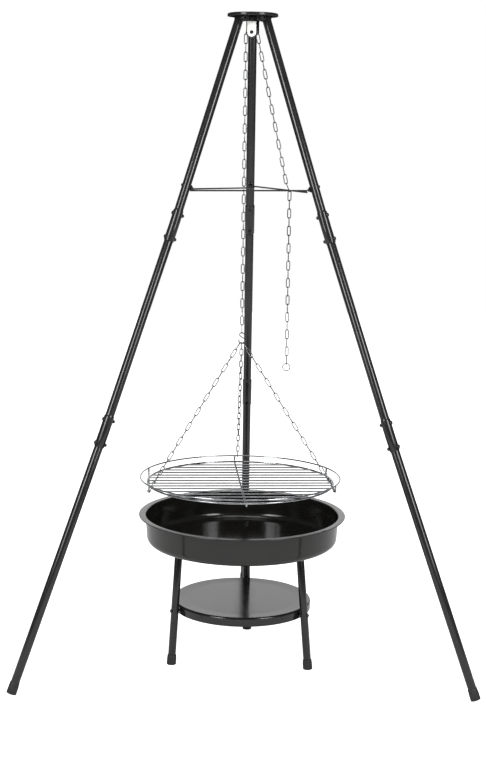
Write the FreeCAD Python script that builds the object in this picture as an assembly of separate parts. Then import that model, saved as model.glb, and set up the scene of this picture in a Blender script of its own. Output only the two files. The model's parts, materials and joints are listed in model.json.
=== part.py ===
import FreeCAD, Part
import math
import os

V = FreeCAD.Vector

# Campfire tripod with a hanging grate over a fire bowl. Millimetres, +Z up, floor at z = 0.
# The model is laid out round the tripod's axis and moved at the end, so that the origin
# is on the floor in the middle of the footprint.

# ---- tripod legs: the middle line of a leg, as (radius from the axis, height)
LEG_AZIMUTH = {"left": -150.0, "right": -30.0, "back": 90.0}
PIVOT = (37.7, 1641.0)
UPPER_JOINT = (217.0, 1132.0)
LOWER_JOINT = (405.0, 632.0)
FLOOR_POINT = (656.0, 0.0)
TUBE_R = 11.0
TUBE_WALL = 1.5
SOCKET_R = 12.6
SOCKET_HALF = 39.0
BOLT_OFFSET = 30.5
BOLT_R = 2.5
HOLE_R = 2.75
HEAD_R, HEAD_H = 4.8, 3.2
NUT_ACROSS, NUT_H, THREAD_OUT = 8.0, 4.0, 6.0
TIP_R = 12.6
TIP_LENGTH = 30.0
TIP_SOLE = 4.0
TIP_LIFT = 3.3

# ---- top plate and leg clevises
PLATE_R = 63.0
PLATE_TOP = 1653.0
PLATE_T = 2.0
PLATE_RIM = 8.0
CLEVIS_IN, CLEVIS_OUT = 19.0, 44.5
CLEVIS_HALF, CLEVIS_T = 14.6, 2.5
CLEVIS_BOTTOM = 1633.0

# ---- pulley
PULLEY_X = -2.6
AXLE_Z = 1607.0
AXLE_R = 3.4
SHEAVE_R, HUB_R, SLOT_R, SHEAVE_BORE = 13.4, 10.8, 7.5, 3.45
SHEAVE_HALF, GROOVE_HALF, SLOT_HALF = 6.6, 5.4, 1.7
CHEEK_IN, CHEEK_T, CHEEK_R, CHEEK_TOP = 7.1, 2.0, 11.0, 1648.0
HANGER_IN, HANGER_T, HANGER_HALF = 11.0, 2.4, 14.2
HANGER_BOLT_Z = 1640.5
BACK_HALF, BACK_BOTTOM = 16.2, 1604.5

# ---- chain
PITCH = 22.0
WIRE_R = 1.2
LINK_W = 10.0
LINK_PLAY = 0.3
MAIN_X = -16.5
RUN_TOP = 1602.0
MAIN_LINKS = 34
HEAD_LINKS, UPPER_LINKS = 1, 26
FREE_X = 12.5
OVER_Z = 1623.7
SLANT_LINKS = 17
DRAPE_START = (90.1, 1236.0)
TAIL_X = 98.9
TAIL_LINKS = 20
END_RING_R = 9.3

# ---- spreader triangle between the legs
BRACE_Z = 1220.0
BRACE_VERTEX_R = 162.0
BRACE_TURN = -2.5
BRACE_ROD_R = 2.0
BRACE_BOLT_Z = 1229.0
BRACE_EYE_R = 5.2
BRACE_BOLT_R, BRACE_HOLE_R = 2.0, 2.25
BRACE_HEAD_R, BRACE_HEAD_H = 4.0, 2.7
BRACE_NUT_ACROSS, BRACE_NUT_H = 7.0, 3.2
BRACE_END = 6.0
BRACE_LEAVE = 1.6

# ---- grate
GRATE_X, GRATE_Y, GRATE_TURN = -15.6, 0.0, 3.7
RIM_R, RIM_WIRE, RIM_Z = 241.0, 2.5, 465.0
BAR_WIRE, BAR_PITCH, BAR_COUNT = 2.0, 31.0, 14
RAIL_R, RAIL_WIRE, RAIL_Z = 258.8, 2.0, 478.0
CROSS_WIRE, CROSS_SIDE, CROSS_BEND = 2.25, 237.0, 7.0
HOOK_WIRE = 1.5
WELD_GAP = 0.05
SIDE_HOOK_V = -83.0
REAR_HOOK_U = 8.0

# ---- fire bowl on its stand
BOWL_X, BOWL_Y = -9.6, 2.0
BOWL_T = 2.4
BOWL_FLANGE_R, BOWL_MOUTH_R, BOWL_FLOOR_R = 269.0, 252.0, 230.0
BOWL_TOP, BOWL_BOTTOM, BOWL_SHOULDER = 379.5, 304.0, 322.0
BOWL_KNEE_R = 248.0
MOUTH_ROUND = 4.0
STAND_TURN = -3.7
STAND_TOP_R, STAND_FLOOR_R = 179.0, 204.0
STAND_TUBE_R = 10.0
STAND_CAP_R, STAND_CAP_H = 12.2, 25.0
STAND_LEAN = (5.0, -4.0)
SHELF_R, SHELF_TOP, SHELF_SKIRT, SHELF_T = 180.0, 154.0, 23.0, 1.6
SHELF_FLAT_R, SHELF_DISH, SHELF_ROLL = 141.0, 1.8, 5.0
SHELF_BOLT_Z = 141.0
HEAD_GAP = 0.5


def polar(radius, azimuth, z):
    a = math.radians(azimuth)
    return V(radius * math.cos(a), radius * math.sin(a), z)


def unit(vector):
    return vector * (1.0 / vector.Length)


def cylinder(start, end, radius):
    return Part.makeCylinder(radius, (end - start).Length, start, end - start)


def tube(start, end, outer, inner):
    step = unit(end - start)
    return cylinder(start, end, outer).cut(cylinder(start - step, end + step, inner))


def ring(centre, radius, wire):
    return Part.makeTorus(radius, wire, centre, V(0, 0, 1))


def sweep(edges, radius):
    """A round wire of the given radius along joined edges."""
    path = Part.Wire(edges)
    start = edges[0].valueAt(edges[0].FirstParameter)
    along = edges[0].tangentAt(edges[0].FirstParameter)
    profile = Part.Wire([Part.makeCircle(radius, start, along)])
    return path.makePipeShell([profile], True, False)


def line(a, b):
    return Part.LineSegment(a, b).toShape()


def arc(centre, ex, ez, radius, first, last):
    """An arc in the plane of ex and ez, between two angles in degrees."""
    def at(angle):
        t = math.radians(angle)
        return centre + ex * (radius * math.cos(t)) + ez * (radius * math.sin(t))
    return Part.Arc(at(first), at((first + last) / 2.0), at(last)).toShape()


def placed(shape, centre, ex, ey, ez):
    matrix = FreeCAD.Matrix(ex.x, ey.x, ez.x, centre.x,
                            ex.y, ey.y, ez.y, centre.y,
                            ex.z, ey.z, ez.z, centre.z,
                            0, 0, 0, 1)
    copy = shape.copy()
    copy.Placement = FreeCAD.Placement(matrix)
    return copy


def turned(shape, azimuth):
    copy = shape.copy()
    copy.rotate(V(0, 0, 0), V(0, 0, 1), azimuth)
    return copy


def hexagon(centre, axis, across, height, bore):
    """A hexagonal nut standing on centre and reaching height along axis."""
    ez = unit(axis)
    ex = unit(ez.cross(V(0.31, 0.42, 0.85)))
    ey = ez.cross(ex)
    corner = across / math.sqrt(3.0)
    points = []
    for k in range(7):
        t = math.radians(60.0 * k)
        points.append(centre + ex * (corner * math.cos(t)) + ey * (corner * math.sin(t)))
    body = Part.Face(Part.makePolygon(points)).extrude(ez * height)
    if bore:
        body = body.cut(cylinder(centre - ez, centre + ez * (height + 1), bore))
    return body


def round_head(centre, axis, radius, height):
    """A pan head standing on centre, its outer edge rounded."""
    ez = unit(axis)
    head = cylinder(centre, centre + ez * height, radius)
    top = centre + ez * height
    rim = [e for e in head.Edges
           if e.Closed and (e.CenterOfMass - top).Length < 0.01]
    return head.makeFillet(height * 0.6, rim)


# ---------------------------------------------------------------- chain pieces

def make_link():
    """One welded link round the origin: long along Z, flat in the XZ plane."""
    bend = (LINK_W - 2 * WIRE_R) / 2.0
    half = (PITCH + LINK_PLAY) / 2.0 + WIRE_R - bend
    x, z = V(1, 0, 0), V(0, 0, 1)
    edges = [line(V(bend, 0, -half), V(bend, 0, half)),
             arc(V(0, 0, half), x, z, bend, 0, 180),
             line(V(-bend, 0, half), V(-bend, 0, -half)),
             arc(V(0, 0, -half), x, z, bend, 180, 360)]
    return sweep(edges, WIRE_R)


LINK = make_link()


def link_between(a, b, flat):
    """A link from joint a to joint b, its width along flat."""
    ez = unit(a - b)
    ex = unit(flat - ez * flat.dot(ez))
    return placed(LINK, (a + b) * 0.5, ex, ez.cross(ex), ez)


def chain(a, b, count, flat, twist=0.0):
    """count links from a to b, each a quarter turn on from the last. The first is flat
    along flat, and twist is what the whole chain turns on top of that, in degrees."""
    step = (b - a) * (1.0 / count)
    turn = 90.0 + twist / max(count - 1, 1)
    links = []
    for k in range(count):
        start = a + step * k
        way = FreeCAD.Rotation(unit(b - a), turn * k).multVec(flat)
        links.append(link_between(start, start + step, way))
    return links


def s_hook(upper, lower, ex, upper_r, lower_r, wire, upper_open, lower_open):
    """An S of round wire: an eye round upper and a hook round lower, bent in the plane
    of ex and the line between them. The open angles are measured from ex."""
    ez = unit(upper - lower)
    ex = unit(ex - ez * ex.dot(ez))
    gap = (upper - lower).Length
    lean = math.degrees(math.acos((upper_r + lower_r) / gap))
    leave = 270.0 - lean
    top = arc(upper, ex, ez, upper_r, upper_open, leave)
    bottom = arc(lower, ex, ez, lower_r, leave - 180.0, lower_open)
    middle = line(top.valueAt(top.LastParameter), bottom.valueAt(bottom.FirstParameter))
    return sweep([top, middle, bottom], wire)


# ---------------------------------------------------------------- tripod

def leg_point(spot, azimuth):
    return polar(spot[0], azimuth, spot[1])


def leg_frame(azimuth):
    """Joints of one leg and the directions of its three tubes, all pointing down."""
    spots = [leg_point(s, azimuth) for s in (PIVOT, UPPER_JOINT, LOWER_JOINT, FLOOR_POINT)]
    down = [unit(spots[k + 1] - spots[k]) for k in range(3)]
    return spots, down


def outward(direction, azimuth):
    """The direction square to a leg tube, in its upright plane, pointing outwards."""
    radial = polar(1.0, azimuth, 0)
    return unit(radial - direction * radial.dot(direction))


def bolt_places(azimuth):
    """Centre and axis of the four bolts that hold one leg's joints together."""
    spots, down = leg_frame(azimuth)
    places = []
    for joint in (1, 2):
        for side, direction in ((-1, down[joint - 1]), (1, down[joint])):
            places.append((spots[joint] + direction * (side * BOLT_OFFSET),
                           outward(direction, azimuth)))
    return places


def brace_bolt_place(azimuth):
    spots, down = leg_frame(azimuth)
    travel = (PIVOT[1] - BRACE_BOLT_Z) / -down[0].z
    return spots[0] + down[0] * travel, outward(down[0], azimuth)


def drilled(shape, places, radius=HOLE_R):
    for centre, axis in places:
        shape = shape.cut(cylinder(centre - axis * 20, centre + axis * 20, radius))
    return shape


def mitred(start, joint, end, radius):
    """Two round bars that meet at joint, each cut on the plane between them."""
    first, second = unit(joint - start), unit(end - joint)
    across = unit(first + second)
    above = cylinder(start, joint + first * radius, radius)
    above = above.cut(cylinder(joint, joint + across * 60, 60))
    below = cylinder(joint - second * radius, end, radius)
    below = below.cut(cylinder(joint - across * 60, joint, 60))
    return above.fuse(below)


def tube_with_socket(start, joint, direction, next_direction):
    """A leg tube whose lower end is swaged out to take the next tube."""
    inner = TUBE_R - TUBE_WALL
    body = cylinder(start, joint - direction * (SOCKET_HALF - 1), TUBE_R)
    body = body.fuse(mitred(joint - direction * SOCKET_HALF, joint,
                            joint + next_direction * SOCKET_HALF, SOCKET_R))
    body = body.cut(cylinder(start - direction, joint + direction, inner))
    return body.cut(cylinder(joint, joint + next_direction * (SOCKET_HALF + 1), TUBE_R))


def leg_tubes(azimuth):
    spots, down = leg_frame(azimuth)
    inner = TUBE_R - TUBE_WALL
    places = bolt_places(azimuth)
    tangent = polar(1.0, azimuth + 90.0, 0)
    start = spots[0] - down[0] * 5.0
    upper = tube_with_socket(start, spots[1], down[0], down[1])
    upper = drilled(upper, places[:2] + [(spots[0], tangent)])
    upper = drilled(upper, [brace_bolt_place(azimuth)], BRACE_HOLE_R)
    middle = tube_with_socket(spots[1] + down[1] * 0.5, spots[2], down[1], down[2])
    middle = drilled(middle, places[1:4])
    sole = spots[3] - down[2] * (TIP_LIFT + TIP_SOLE)
    lower = drilled(tube(spots[2] + down[2] * 0.5, sole, TUBE_R, inner), places[3:])
    return upper, middle, lower


def leg_tip(azimuth):
    """Rubber crutch tip: closed below, its lowest edge worn to a flat on the floor."""
    spots, down = leg_frame(azimuth)
    bottom = spots[3] - down[2] * TIP_LIFT
    top = bottom - down[2] * TIP_LENGTH
    tip = cylinder(bottom, top, TIP_R)
    tip = tip.cut(cylinder(bottom - down[2] * TIP_SOLE, top - down[2], TUBE_R))
    below = Part.makeBox(1600, 1600, 20, V(-800, -800, -20))
    return tip.cut(below)


def joint_bolts():
    bolts, nuts = [], []
    for azimuth in LEG_AZIMUTH.values():
        for centre, axis in bolt_places(azimuth):
            out = centre + axis * SOCKET_R
            into = centre - axis * SOCKET_R
            shank = cylinder(into - axis * THREAD_OUT, out, BOLT_R)
            bolts.append(shank.fuse(round_head(out, axis, HEAD_R, HEAD_H)))
            nuts.append(hexagon(into, axis * -1, NUT_ACROSS, NUT_H, BOLT_R + 0.05))
    return bolts, nuts


def top_plate():
    edge = 3.0
    outline = [line(V(0, 0, PLATE_TOP), V(PLATE_R - edge, 0, PLATE_TOP)),
               arc(V(PLATE_R - edge, 0, PLATE_TOP - edge), V(1, 0, 0), V(0, 0, 1), edge, 90, 0),
               line(V(PLATE_R, 0, PLATE_TOP - edge), V(PLATE_R, 0, PLATE_TOP - PLATE_RIM)),
               line(V(PLATE_R, 0, PLATE_TOP - PLATE_RIM),
                    V(PLATE_R - PLATE_T, 0, PLATE_TOP - PLATE_RIM)),
               line(V(PLATE_R - PLATE_T, 0, PLATE_TOP - PLATE_RIM),
                    V(PLATE_R - PLATE_T, 0, PLATE_TOP - edge)),
               arc(V(PLATE_R - edge, 0, PLATE_TOP - edge), V(1, 0, 0), V(0, 0, 1),
                   edge - PLATE_T, 0, 90),
               line(V(PLATE_R - edge, 0, PLATE_TOP - PLATE_T), V(0, 0, PLATE_TOP - PLATE_T)),
               line(V(0, 0, PLATE_TOP - PLATE_T), V(0, 0, PLATE_TOP))]
    return Part.Face(Part.Wire(outline)).revolve(V(0, 0, 0), V(0, 0, 1), 360)


def box(x0, x1, y0, y1, z0, z1):
    return Part.makeBox(x1 - x0, y1 - y0, z1 - z0, V(x0, y0, z0))


def clevis(azimuth):
    """A folded channel welded under the plate, its web towards the axis."""
    under = PLATE_TOP - PLATE_T
    body = box(CLEVIS_IN, CLEVIS_OUT, -CLEVIS_HALF, CLEVIS_HALF, CLEVIS_BOTTOM, under)
    corner = [e for e in body.Edges if abs(e.CenterOfMass.x - CLEVIS_OUT) < 0.01
              and abs(e.CenterOfMass.z - CLEVIS_BOTTOM) < 0.01]
    body = body.makeFillet(7.0, corner)
    gap = CLEVIS_HALF - CLEVIS_T
    body = body.cut(box(CLEVIS_IN + CLEVIS_T, CLEVIS_OUT + 1, -gap, gap,
                        CLEVIS_BOTTOM - 1, under + 1))
    body = body.cut(cylinder(V(PIVOT[0], -20, PIVOT[1]), V(PIVOT[0], 20, PIVOT[1]), HOLE_R))
    return turned(body, azimuth)


def pivot_bolts():
    bolts, nuts = [], []
    for azimuth in LEG_AZIMUTH.values():
        centre = leg_point(PIVOT, azimuth)
        axis = polar(1.0, azimuth + 90.0, 0)
        head, tail = centre + axis * CLEVIS_HALF, centre - axis * CLEVIS_HALF
        shank = cylinder(tail - axis * THREAD_OUT, head, BOLT_R)
        bolts.append(shank.fuse(round_head(head, axis, HEAD_R, HEAD_H)))
        nuts.append(hexagon(tail, axis * -1, NUT_ACROSS, NUT_H, BOLT_R + 0.05))
    return bolts, nuts


def pulley_parts():
    y = V(0, 1, 0)
    axle = V(PULLEY_X, 0, AXLE_Z)
    bolt = V(PULLEY_X, 0, HANGER_BOLT_Z)
    cheek_out = CHEEK_IN + CHEEK_T
    body = box(PULLEY_X - CHEEK_R, PULLEY_X + CHEEK_R, -cheek_out, cheek_out, AXLE_Z, CHEEK_TOP)
    body = body.fuse(cylinder(axle - y * cheek_out, axle + y * cheek_out, CHEEK_R))
    body = body.cut(box(-60, 60, -CHEEK_IN, CHEEK_IN, AXLE_Z - 30, CHEEK_TOP - CHEEK_T))
    body = body.cut(cylinder(axle - y * 20, axle + y * 20, AXLE_R + 0.02))
    bracket = body.cut(cylinder(bolt - y * 20, bolt + y * 20, HOLE_R)).removeSplitter()

    pin = cylinder(axle - y * (cheek_out + 1.2), axle + y * (cheek_out + 1.2), AXLE_R)
    for side in (-1, 1):
        end = axle + y * (side * cheek_out)
        pin = pin.fuse(cylinder(end, end + y * (side * 1.2), AXLE_R + 0.9))

    half = [(SHEAVE_BORE, 0), (SLOT_R, 0), (SLOT_R, SLOT_HALF), (HUB_R, SLOT_HALF + 0.6),
            (HUB_R, GROOVE_HALF - 0.6), (HUB_R + 0.6, GROOVE_HALF), (SHEAVE_R - 0.5, GROOVE_HALF),
            (SHEAVE_R, GROOVE_HALF + 0.4), (SHEAVE_R, SHEAVE_HALF), (SHEAVE_BORE, SHEAVE_HALF)]
    outline = half + [(r, -w) for r, w in reversed(half[1:])] + [half[0]]
    outline = [p for k, p in enumerate(outline) if p not in ((SHEAVE_BORE, 0), (SLOT_R, 0))]
    outline.append(outline[0])
    face = Part.Face(Part.makePolygon([V(PULLEY_X + r, w, AXLE_Z) for r, w in outline]))
    sheave = face.revolve(axle, y, 360)

    under = PLATE_TOP - PLATE_T
    outer = HANGER_IN + HANGER_T
    hanger = box(-HANGER_HALF, HANGER_HALF, -outer, outer, CLEVIS_BOTTOM, under)
    hanger = hanger.cut(box(-60, 60, -HANGER_IN, HANGER_IN, CLEVIS_BOTTOM - 1, under - HANGER_T))
    hanger = hanger.fuse(box(-BACK_HALF, BACK_HALF, HANGER_IN, outer, BACK_BOTTOM, under))
    hanger = hanger.cut(cylinder(bolt - y * 20, bolt + y * 20, HOLE_R))
    shank = cylinder(bolt - y * outer, bolt + y * (outer + 0.4), BOLT_R)
    hanger_bolt = shank.fuse(round_head(bolt - y * outer, y * -1, HEAD_R, HEAD_H))
    hanger_bolt = hanger_bolt.fuse(hexagon(bolt + y * outer, y, NUT_ACROSS, NUT_H, 0))
    return bracket, pin, sheave, hanger.removeSplitter(), hanger_bolt


def brace_vertex(azimuth, z):
    return polar(BRACE_VERTEX_R, azimuth + BRACE_TURN, z)


def brace_rod(own, other):
    """One side of the triangle: an eye on its own leg's bolt, a bend at the corner, then
    straight to the next corner, where its blunt end is welded under the next rod."""
    centre, axis = brace_bolt_place(own)
    eye = centre - axis * (TUBE_R + BRACE_ROD_R + 0.3)
    loop = Part.makeTorus(BRACE_EYE_R, BRACE_ROD_R, eye, axis)
    foot = eye - polar(BRACE_EYE_R + BRACE_LEAVE, own + 90.0, 0)
    near = brace_vertex(own, BRACE_Z + BRACE_ROD_R + 0.05)
    far = brace_vertex(other, BRACE_Z - BRACE_ROD_R - 0.05)
    body = cylinder(near, far + unit(far - near) * BRACE_END, BRACE_ROD_R)
    body = body.fuse(cylinder(foot, near, BRACE_ROD_R))
    body = body.fuse(Part.makeSphere(BRACE_ROD_R, near))
    return body.fuse(loop).removeSplitter()


def brace_bolts():
    bolts, nuts = [], []
    for azimuth in LEG_AZIMUTH.values():
        centre, axis = brace_bolt_place(azimuth)
        out = centre + axis * TUBE_R
        into = centre - axis * (TUBE_R + 2 * BRACE_ROD_R + 0.6)
        bolts.append(cylinder(into - axis * 5.0, out, BRACE_BOLT_R).fuse(
            round_head(out, axis, BRACE_HEAD_R, BRACE_HEAD_H)))
        nuts.append(hexagon(into, axis * -1, BRACE_NUT_ACROSS, BRACE_NUT_H, BRACE_BOLT_R + 0.05))
    return bolts, nuts


# ---------------------------------------------------------------- chain runs

def main_joint(index):
    return V(MAIN_X, 0, RUN_TOP - PITCH * index)


def main_run(first, last):
    """Links first to last of the hanging run, counted from the pulley."""
    flat = V(1, 0, 0) if first % 2 == 0 else V(0, 1, 0)
    return chain(main_joint(first), main_joint(last), last - first, flat)


def over_pulley():
    left, right = V(MAIN_X, 0, RUN_TOP), V(FREE_X, 0, RUN_TOP)
    inset = ((FREE_X - MAIN_X) - PITCH) / 2.0
    top_left = V(MAIN_X + inset, 0, OVER_Z)
    top_right = V(FREE_X - inset, 0, OVER_Z)
    y, x = V(0, 1, 0), V(0, 0, 1)
    return [link_between(top_left, left, y), link_between(top_left, top_right, x),
            link_between(top_right, right, y)]


def slanting_run():
    """The free side: straight from the pulley, then one link laid over the spreader rod."""
    start = V(FREE_X, 0, RUN_TOP)
    drape = V(DRAPE_START[0], 0, DRAPE_START[1])
    links = chain(start, drape, SLANT_LINKS, V(1, 0, 0))
    links.append(link_between(drape, tail_top(), V(0, 1, 0)))
    return links


def tail_top():
    drop = math.sqrt(PITCH ** 2 - (TAIL_X - DRAPE_START[0]) ** 2)
    return V(TAIL_X, 0, DRAPE_START[1] - drop)


def tail_run():
    top = tail_top()
    bottom = V(TAIL_X, 0, top.z - PITCH * TAIL_LINKS)
    centre = bottom - V(0, 0, END_RING_R - WIRE_R - LINK_PLAY / 2.0)
    end = Part.makeTorus(END_RING_R, WIRE_R, centre, V(0, 1, 0))
    return chain(top, bottom, TAIL_LINKS, V(1, 0, 0)), end


# ---------------------------------------------------------------- grate

def on_grate(u, v, z):
    """A point of the grate's own plan (u to the right, v to the back) at height z."""
    t = math.radians(GRATE_TURN)
    return V(GRATE_X + u * math.cos(t) - v * math.sin(t),
             GRATE_Y + u * math.sin(t) + v * math.cos(t), z)


def crossbar(u):
    """A rod under the bars whose two ends turn up to the railing."""
    reach = math.sqrt(RAIL_R ** 2 - u ** 2)
    low = RIM_Z - RIM_WIRE - CROSS_WIRE
    high = RAIL_Z - RAIL_WIRE
    back = on_grate(0, 1, 0) - on_grate(0, 0, 0)
    up = V(0, 0, 1)
    inner = reach - CROSS_BEND
    front_c = on_grate(u, -inner, low + CROSS_BEND)
    rear_c = on_grate(u, inner, low + CROSS_BEND)
    edges = [line(on_grate(u, -reach, high), on_grate(u, -reach, low + CROSS_BEND)),
             arc(front_c, back, up, CROSS_BEND, 180, 270),
             line(on_grate(u, -inner, low), on_grate(u, inner, low)),
             arc(rear_c, back, up, CROSS_BEND, 270, 360),
             line(on_grate(u, reach, low + CROSS_BEND), on_grate(u, reach, high))]
    return sweep(edges, CROSS_WIRE)


def grate_bars():
    bars = []
    rim = ring(V(GRATE_X, GRATE_Y, RIM_Z), RIM_R, RIM_WIRE + WELD_GAP)
    z = RIM_Z - RIM_WIRE + BAR_WIRE
    for k in range(BAR_COUNT):
        v = (k - (BAR_COUNT - 1) / 2.0) * BAR_PITCH
        reach = math.sqrt(RIM_R ** 2 - v ** 2)
        bar = cylinder(on_grate(-reach, v, z), on_grate(reach, v, z), BAR_WIRE).cut(rim)
        bars.append(max(bar.Solids, key=lambda s: s.Volume))
    return bars


def hook_seat():
    """Centre and radius of the lower bend of the main hook."""
    return V(MAIN_X, 0, 835.0), 7.6


def main_hook():
    lower, lower_r = hook_seat()
    upper_r = 5.4
    upper = main_joint(MAIN_LINKS) + V(0, 0, WIRE_R + LINK_PLAY / 2 + HOOK_WIRE - WIRE_R - upper_r)
    return s_hook(upper, lower, V(1, 0, 0), upper_r, lower_r, HOOK_WIRE, 0.0, -205.0)


def hanger(name):
    """One of the three chains from the main hook to the grate, with its end hook."""
    seat, seat_r = hook_seat()
    low = RIM_Z - RIM_WIRE - CROSS_WIRE
    spots = {"left": (-38.0, on_grate(-CROSS_SIDE, SIDE_HOOK_V, low), CROSS_WIRE),
             "right": (38.0, on_grate(CROSS_SIDE, SIDE_HOOK_V, low), CROSS_WIRE),
             "rear": (0.0, on_grate(REAR_HOOK_U, math.sqrt(RAIL_R ** 2 - REAR_HOOK_U ** 2), RAIL_Z),
                      RAIL_WIRE)}
    slide, anchor, held = spots[name]
    t = math.radians(slide)
    along = V(math.cos(t), 0, math.sin(t))
    on_wire = seat + V(seat_r * math.sin(t), 0, -seat_r * math.cos(t))
    pull = anchor - on_wire
    pull = unit(pull - along * pull.dot(along))
    top = on_wire - pull * (HOOK_WIRE + LINK_PLAY / 2.0)
    run = anchor - top
    down = unit(run)
    eye_r, grip_r, wire = 3.6, held + 1.2 + 0.5, 1.2
    hook_length = eye_r + grip_r
    count = int((run.Length - hook_length - 6.0) / PITCH)
    end = top + down * (PITCH * count)
    flat = unit(along.cross(down))
    links = chain(top, end, count, flat, 90.0 if name == "rear" else 0.0)
    eye = end + down * (eye_r - wire - LINK_PLAY / 2.0)
    sideways = unit(anchor - on_grate(0, 0, anchor.z))
    hook = s_hook(eye, anchor, sideways * -1, eye_r, grip_r, wire, -60.0, -215.0)
    return links, hook, count


# ---------------------------------------------------------------- fire bowl and stand

def bowl_shell():
    t = BOWL_T
    x, z = V(1, 0, 0), V(0, 0, 1)
    knee = BOWL_SHOULDER - BOWL_BOTTOM

    def p(r, h):
        return V(r, 0, h)

    def corner(grow):
        """The bottom corner, an arc between the floor and the wall; grow is the offset in."""
        a = p(BOWL_FLOOR_R, BOWL_BOTTOM + grow)
        b = p(BOWL_KNEE_R - grow, BOWL_SHOULDER)
        m = p(BOWL_FLOOR_R + (BOWL_KNEE_R - grow - BOWL_FLOOR_R) * math.sin(math.radians(45)),
              BOWL_SHOULDER - (knee - grow) * math.cos(math.radians(45)))
        return a, m, b

    under = BOWL_TOP - t
    lip = t / 2.0
    oa, om, ob = corner(0)
    ia, im, ib = corner(t)
    throat = p(BOWL_MOUTH_R, under - MOUTH_ROUND + t)
    inner_top = p(BOWL_MOUTH_R - t, BOWL_TOP - MOUTH_ROUND)
    edges = [line(p(0, BOWL_BOTTOM), oa), Part.Arc(oa, om, ob).toShape(),
             line(ob, throat),
             arc(p(BOWL_MOUTH_R + MOUTH_ROUND - t, under - MOUTH_ROUND + t), x, z,
                 MOUTH_ROUND - t, 180, 90),
             line(p(BOWL_MOUTH_R + MOUTH_ROUND - t, under), p(BOWL_FLANGE_R - lip, under)),
             arc(p(BOWL_FLANGE_R - lip, under + lip), x, z, lip, -90, 90),
             line(p(BOWL_FLANGE_R - lip, BOWL_TOP), p(BOWL_MOUTH_R + MOUTH_ROUND - t, BOWL_TOP)),
             arc(p(BOWL_MOUTH_R + MOUTH_ROUND - t, BOWL_TOP - MOUTH_ROUND), x, z,
                 MOUTH_ROUND, 90, 180),
             line(inner_top, ib), Part.Arc(ib, im, ia).toShape(),
             line(ia, p(0, BOWL_BOTTOM + t)), line(p(0, BOWL_BOTTOM + t), p(0, BOWL_BOTTOM))]
    shell = Part.Face(Part.Wire(edges)).revolve(V(0, 0, 0), z, 360)
    for azimuth in LEG_AZIMUTH.values():
        spot = polar(STAND_TOP_R, azimuth + STAND_TURN, 0)
        shell = shell.cut(cylinder(spot + z * (BOWL_BOTTOM - 5), spot + z * (BOWL_BOTTOM + 9), 4.2))
    return shell


def lean(z):
    """How far the stand's own axis is off the bowl's at height z."""
    return V(STAND_LEAN[0], STAND_LEAN[1], 0) * (1.0 - z / BOWL_BOTTOM)


def stand_line(azimuth, z):
    """Middle line of a stand leg at height z."""
    radius = STAND_FLOOR_R + (STAND_TOP_R - STAND_FLOOR_R) * z / BOWL_BOTTOM
    return polar(radius, azimuth + STAND_TURN, z) + lean(z)


def stand_leg(azimuth):
    """Stand leg, its plug with a threaded hole, and its rubber cap."""
    inner = STAND_TUBE_R - 1.5
    leg = tube(stand_line(azimuth, 4.0), stand_line(azimuth, BOWL_BOTTOM + 6), STAND_TUBE_R, inner)
    leg = leg.common(box(-500, 500, -500, 500, 0, BOWL_BOTTOM))
    plug = cylinder(stand_line(azimuth, BOWL_BOTTOM - 26), stand_line(azimuth, BOWL_BOTTOM + 6),
                    inner)
    plug = plug.common(box(-500, 500, -500, 500, 0, BOWL_BOTTOM))
    spot = polar(STAND_TOP_R, azimuth + STAND_TURN, BOWL_BOTTOM)
    plug = plug.cut(cylinder(spot - V(0, 0, 22), spot + V(0, 0, 1), 4.05))
    cap = cylinder(stand_line(azimuth, -6.0), stand_line(azimuth, STAND_CAP_H), STAND_CAP_R)
    cap = cap.cut(cylinder(stand_line(azimuth, 4.0), stand_line(azimuth, STAND_CAP_H + 2),
                           STAND_TUBE_R))
    cap = cap.common(box(-500, 500, -500, 500, 0, BOWL_BOTTOM))
    centre, axis = shelf_bolt_place(azimuth)
    leg = leg.cut(cylinder(centre - axis * 20, centre + axis * 20, HOLE_R))
    return leg, plug, cap


def bowl_bolts():
    bolts = []
    for azimuth in LEG_AZIMUTH.values():
        spot = polar(STAND_TOP_R, azimuth + STAND_TURN, BOWL_BOTTOM + BOWL_T)
        washer = cylinder(spot, spot + V(0, 0, 1.2), 8.5)
        head = hexagon(spot + V(0, 0, 1.2), V(0, 0, 1), 13.0, 5.5, 0)
        shank = cylinder(spot - V(0, 0, 20), spot + V(0, 0, 1), 4.0)
        bolts.append(shank.fuse(washer).fuse(head))
    return bolts


def shelf_bolt_place(azimuth):
    return stand_line(azimuth, SHELF_BOLT_Z), polar(1.0, azimuth + STAND_TURN, 0)


def shelf():
    """Round tray turned over: a flat middle, a border that rises to a rolled edge, a skirt."""
    x, z = V(1, 0, 0), V(0, 0, 1)
    top, bottom, t = SHELF_TOP, SHELF_TOP - SHELF_SKIRT, SHELF_T
    flat, edge, roll = top - SHELF_DISH, SHELF_R - SHELF_ROLL, SHELF_ROLL

    def p(r, h):
        return V(r, 0, h)

    edges = [line(p(0, flat), p(SHELF_FLAT_R, flat)), line(p(SHELF_FLAT_R, flat), p(edge, top)),
             arc(p(edge, top - roll), x, z, roll, 90, 0),
             line(p(SHELF_R, top - roll), p(SHELF_R, bottom)),
             line(p(SHELF_R, bottom), p(SHELF_R - t, bottom)),
             line(p(SHELF_R - t, bottom), p(SHELF_R - t, top - roll)),
             arc(p(edge, top - roll), x, z, roll - t, 0, 90),
             line(p(edge, top - t), p(SHELF_FLAT_R, flat - t)),
             line(p(SHELF_FLAT_R, flat - t), p(0, flat - t)), line(p(0, flat - t), p(0, flat))]
    body = Part.Face(Part.Wire(edges)).revolve(V(0, 0, 0), z, 360)
    body.translate(lean(SHELF_BOLT_Z))
    for azimuth in LEG_AZIMUTH.values():
        centre, axis = shelf_bolt_place(azimuth)
        body = body.cut(cylinder(centre - axis * 30, centre, HOLE_R))
    return body


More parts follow.
